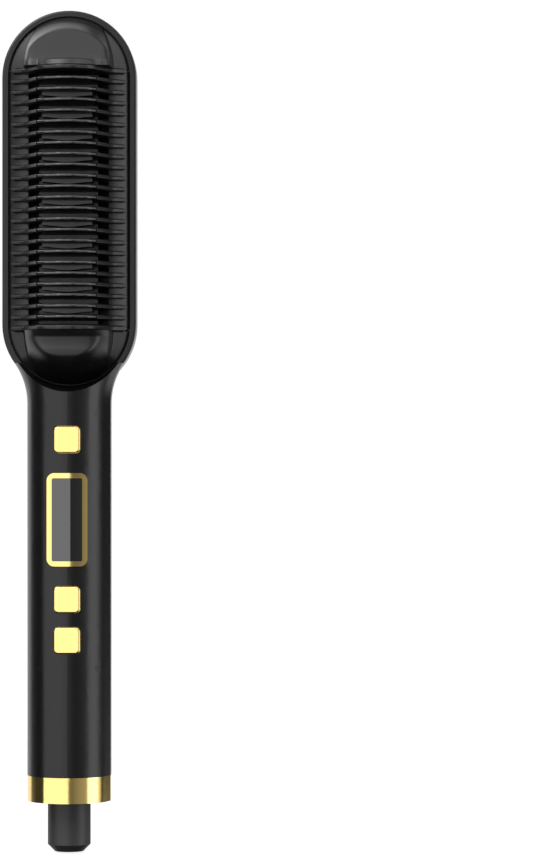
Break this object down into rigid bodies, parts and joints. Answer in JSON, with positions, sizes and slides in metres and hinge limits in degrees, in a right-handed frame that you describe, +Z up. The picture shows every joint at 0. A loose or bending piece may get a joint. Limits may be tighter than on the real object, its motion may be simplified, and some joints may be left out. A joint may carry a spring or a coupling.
{
  "type": "hair straightener brush",
  "caption": "Heated hair straightening brush: oval comb head with hot fins, long handle with push buttons and a window, and a rotating cord sleeve.",
  "frame": {"origin": "on the axis of the swivel sleeve, at its bottom end; a hand holds the brush upright by its grip", "axes": "+Z up the handle to the head, -Y towards the teeth and buttons, +Y the flat gold-framed back"},
  "size_m": [0.042, 0.038, 0.2637],
  "materials": {
    "black_plastic": "satin",
    "comb_plastic": "satin",
    "panel_plastic": "satin",
    "switch_plastic": "satin",
    "sleeve_plastic": "satin",
    "terminal_plastic": "satin",
    "board_green": "satin",
    "capacitor_sleeve": "satin",
    "mica": "satin",
    "lead_insulation": "satin",
    "ceramic": "satin",
    "gold_plating": "polished",
    "brass": "satin",
    "steel": "satin",
    "tinned": "satin",
    "dark_coated_aluminium": "satin",
    "dark_lens": "gloss",
    "sensor_glass": "gloss"
  },
  "bodies": {
    "brush": {"front_shell": "black_plastic", "rear_shell": "black_plastic", "comb_cover": "comb_plastic", "heater_plate": "dark_coated_aluminium", "ceramic_heaters": "ceramic", "heater_clamp": "steel", "mica_sheet": "mica", "heater_tray": "comb_plastic", "heater_screws": "steel", "tray_screws": "steel", "thermal_fuse": "tinned", "thermistor": "sensor_glass", "back_trim_frame": "gold_plating", "back_panel": "panel_plastic", "head_screws": "steel", "button_switches": "switch_plastic", "display_frame": "gold_plating", "display_lens": "dark_lens", "control_board": "board_green", "board_screws": "steel", "display_module": "switch_plastic", "terminal_blocks": "terminal_plastic", "smoothing_capacitor": "capacitor_sleeve", "board_fuse": "sensor_glass", "mains_capacitor": "terminal_plastic", "triac": "switch_plastic", "mains_leads": "lead_insulation", "heater_leads": "lead_insulation", "collar_ring": "gold_plating", "swivel_seat": "comb_plastic", "contact_block": "switch_plastic", "contact_blades": "brass"},
    "power_cap": {"power_button": "gold_plating", "power_plunger": "switch_plastic"},
    "plus_cap": {"plus_button": "gold_plating", "plus_plunger": "switch_plastic"},
    "minus_cap": {"minus_button": "gold_plating", "minus_plunger": "switch_plastic"},
    "swivel": {"swivel_sleeve": "sleeve_plastic", "swivel_clip": "steel", "slip_rings": "brass"}
  },
  "joints": [
    {"name": "power_press", "type": "slide", "parent": "brush", "child": "power_cap", "axis": [0, 1, 0], "range_m": [0, 0.0005], "stiffness_N_per_m": 3000, "springref_m": -0.0003},
    {"name": "plus_press", "type": "slide", "parent": "brush", "child": "plus_cap", "axis": [0, 1, 0], "range_m": [0, 0.0005], "stiffness_N_per_m": 3000, "springref_m": -0.0003},
    {"name": "minus_press", "type": "slide", "parent": "brush", "child": "minus_cap", "axis": [0, 1, 0], "range_m": [0, 0.0005], "stiffness_N_per_m": 3000, "springref_m": -0.0003},
    {"name": "swivel_turn", "type": "hinge", "parent": "brush", "child": "swivel", "pos_m": [0, 0, 0.0213], "axis": [0, 0, 1], "continuous": true}
  ]
}
